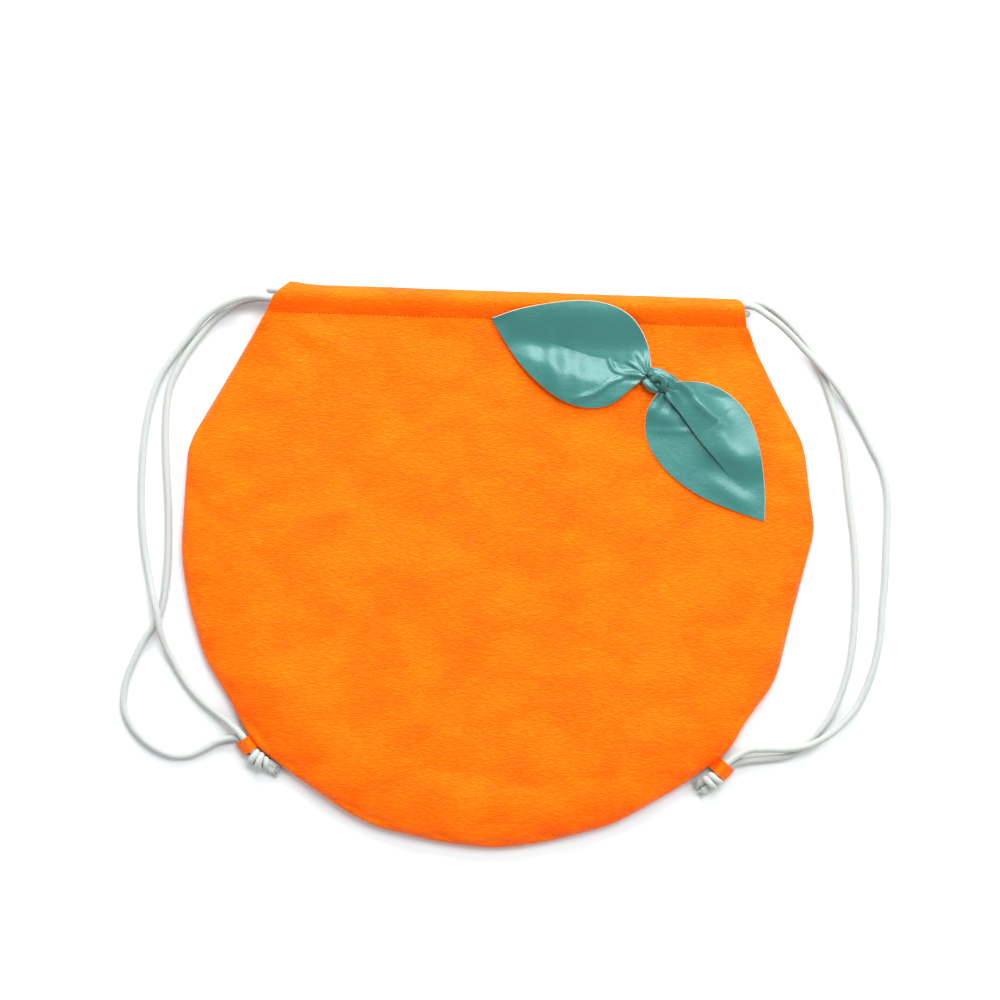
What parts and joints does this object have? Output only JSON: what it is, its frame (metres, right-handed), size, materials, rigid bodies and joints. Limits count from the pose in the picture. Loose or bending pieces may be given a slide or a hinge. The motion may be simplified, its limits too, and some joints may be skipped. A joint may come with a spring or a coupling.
{
  "type": "drawstring backpack",
  "caption": "Flat drawstring backpack cut as a round fruit, with hemmed mouth, two doubled drawcords as straps, side tabs and a knotted leaf ornament.",
  "frame": {"origin": "under the middle of the bag's sewn outline, on the surface that the bag lies on", "axes": "+X across the bag, to the right as its front is looked at; +Y up the bag to its mouth; +Z out of its front"},
  "size_m": [0.4626, 0.3388, 0.0269],
  "materials": {
    "orange_leather": "fine wavy grain, satin coated fabric",
    "green_leather": "smooth semi-gloss coated fabric, cream cut edge",
    "cotton_cord": "matt braided cotton",
    "orange_thread": "spun sewing thread",
    "green_thread": "spun sewing thread"
  },
  "bodies": {
    "root": {"back_panel": "orange_leather", "back_casing": "orange_leather", "back_casing_stitching": "orange_thread", "front_panel": "orange_leather", "side_seam_thread": "orange_thread", "left_tab": "orange_leather", "right_tab": "orange_leather", "left_cord_front_strand": "cotton_cord", "left_cord_back_strand": "cotton_cord", "left_knot": "cotton_cord", "left_cord_tail_1": "cotton_cord", "left_cord_tail_2": "cotton_cord", "right_cord_front_strand": "cotton_cord", "right_cord_back_strand": "cotton_cord", "right_knot": "cotton_cord", "right_cord_tail_1": "cotton_cord", "right_cord_tail_2": "cotton_cord"},
    "front_mouth": {"front_flap": "orange_leather", "front_casing": "orange_leather", "front_casing_stitching": "orange_thread", "leaf_upper": "green_leather", "leaf_lower": "green_leather", "leaf_knot": "green_leather", "leaf_tack": "green_thread"},
    "left_cord": {"left_cord_back_run": "cotton_cord", "left_cord_loop": "cotton_cord"},
    "right_cord": {"right_cord_back_run": "cotton_cord", "right_cord_loop": "cotton_cord"},
    "left_cord_front": {"left_cord_front_run": "cotton_cord"},
    "right_cord_front": {"right_cord_front_run": "cotton_cord"}
  },
  "joints": [
    {"name": "mouth_open", "type": "hinge", "parent": "root", "child": "front_mouth", "pos_m": [0, -0.02, 0.0152], "axis": [1, 0, 0], "range_deg": [0, 16], "deforming": ["left_cord_front_strand", "right_cord_front_strand"]},
    {"name": "left_cord_slide", "type": "slide", "parent": "root", "child": "left_cord", "axis": [0.9994, -0.0339, 0], "range_m": [0, 0.006], "deforming": ["left_cord_front_strand", "left_cord_back_strand"]},
    {"name": "right_cord_slide", "type": "slide", "parent": "root", "child": "right_cord", "axis": [-0.9994, 0.0339, 0], "range_m": [0, 0.006], "deforming": ["right_cord_front_strand", "right_cord_back_strand"]},
    {"name": "left_cord_front_slide", "type": "slide", "parent": "front_mouth", "child": "left_cord_front", "axis": [0.9994, -0.0339, 0], "range_m": [0, 0.006]},
    {"name": "right_cord_front_slide", "type": "slide", "parent": "front_mouth", "child": "right_cord_front", "axis": [-0.9994, 0.0339, 0], "range_m": [0, 0.006]}
  ],
  "couplings": [
    {"joint": "left_cord_front_slide", "follows": "left_cord_slide", "ratio": 1},
    {"joint": "right_cord_front_slide", "follows": "right_cord_slide", "ratio": 1}
  ]
}
